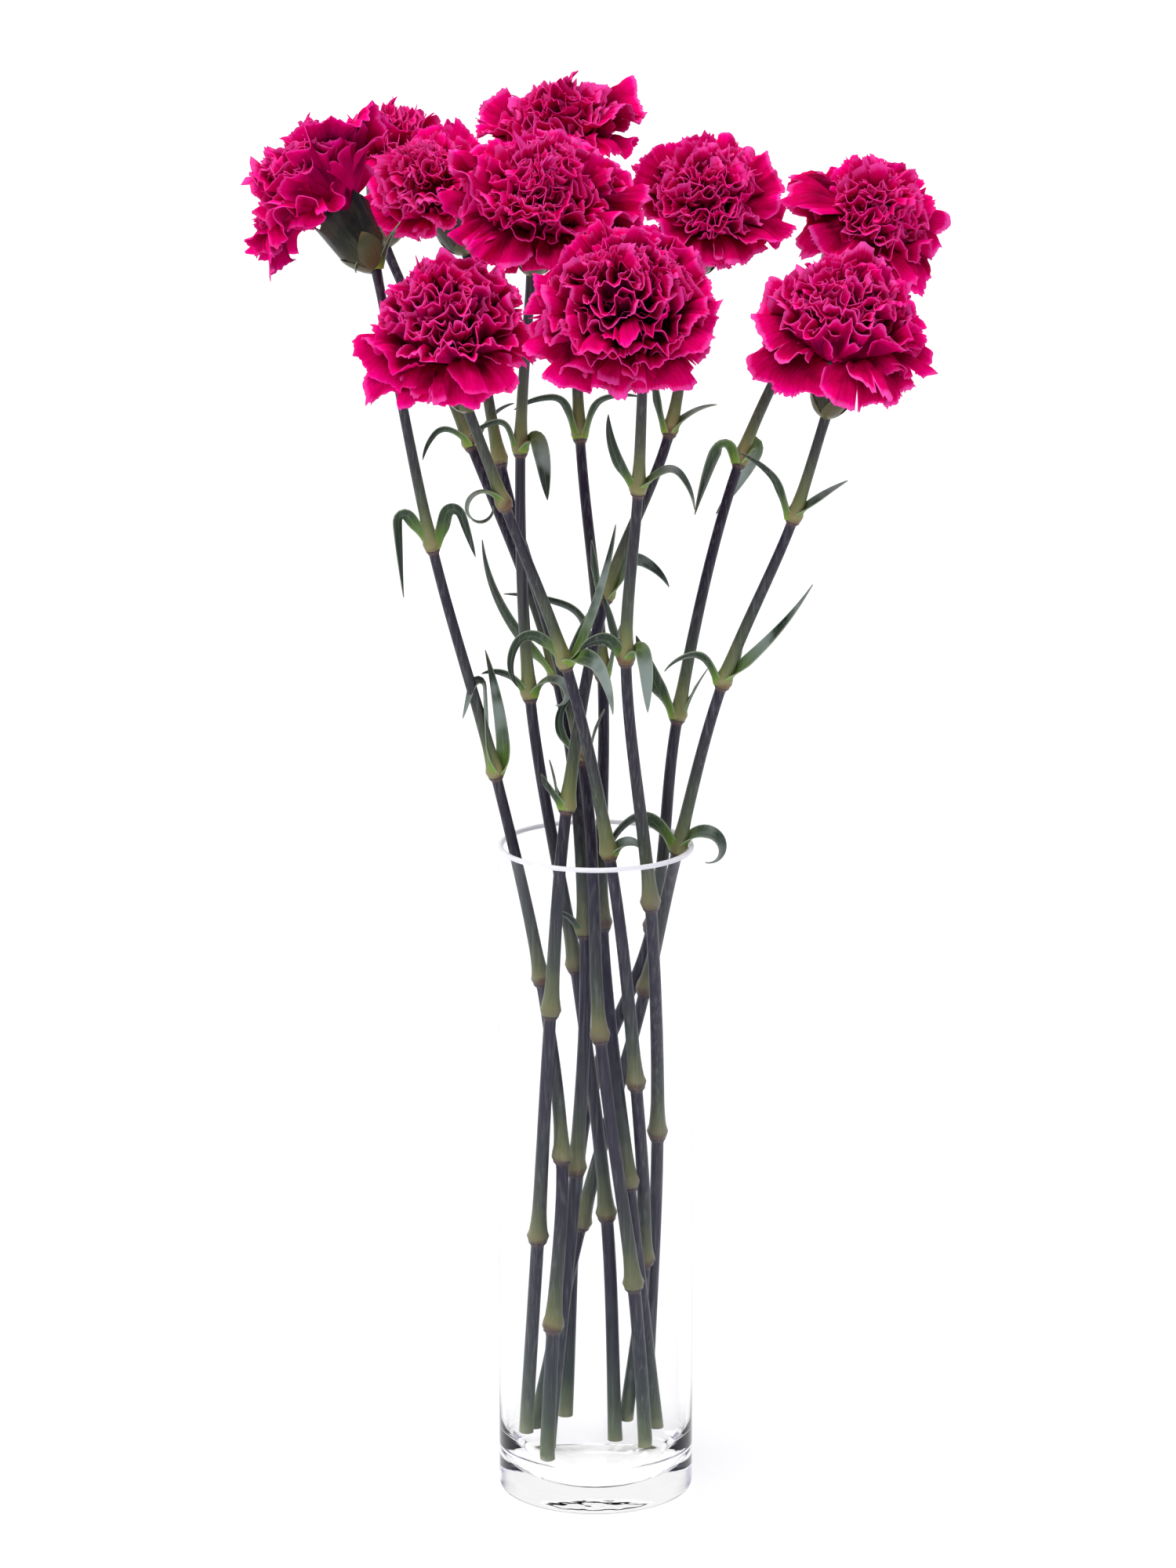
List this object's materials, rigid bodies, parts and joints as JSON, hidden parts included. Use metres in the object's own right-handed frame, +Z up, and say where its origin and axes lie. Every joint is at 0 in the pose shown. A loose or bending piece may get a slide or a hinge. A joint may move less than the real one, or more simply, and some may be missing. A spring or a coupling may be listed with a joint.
{
  "type": "vase of cut carnations",
  "caption": "Long-stemmed crimson carnations with ruffled, toothed petals and narrow curling leaves, standing loosely in a tall clear glass cylinder vase.",
  "frame": {"origin": "centre of the vase's flat underside, on the surface it stands on", "axes": "+Z up along the vase's axis, +X to the right and +Y away from the viewer, with the arrangement seen from the side that the picture shows"},
  "size_m": [0.3052, 0.2507, 0.6321],
  "materials": {
    "glass": "polished",
    "stem": "satin",
    "calyx": "satin",
    "petal": "matte"
  },
  "bodies": {
    "root": {"vase": "glass", "stem_1": "stem", "calyx_1": "calyx", "bloom_1": "petal", "stem_2": "stem", "calyx_2": "calyx", "bloom_2": "petal", "stem_3": "stem", "calyx_3": "calyx", "bloom_3": "petal", "stem_4": "stem", "calyx_4": "calyx", "bloom_4": "petal", "stem_5": "stem", "calyx_5": "calyx", "bloom_5": "petal", "stem_6": "stem", "calyx_6": "calyx", "bloom_6": "petal", "stem_7": "stem", "calyx_7": "calyx", "bloom_7": "petal", "stem_8": "stem", "calyx_8": "calyx", "bloom_8": "petal", "stem_9": "stem", "calyx_9": "calyx", "bloom_9": "petal", "stem_10": "stem", "calyx_10": "calyx", "bloom_10": "petal"}
  },
  "joints": []
}
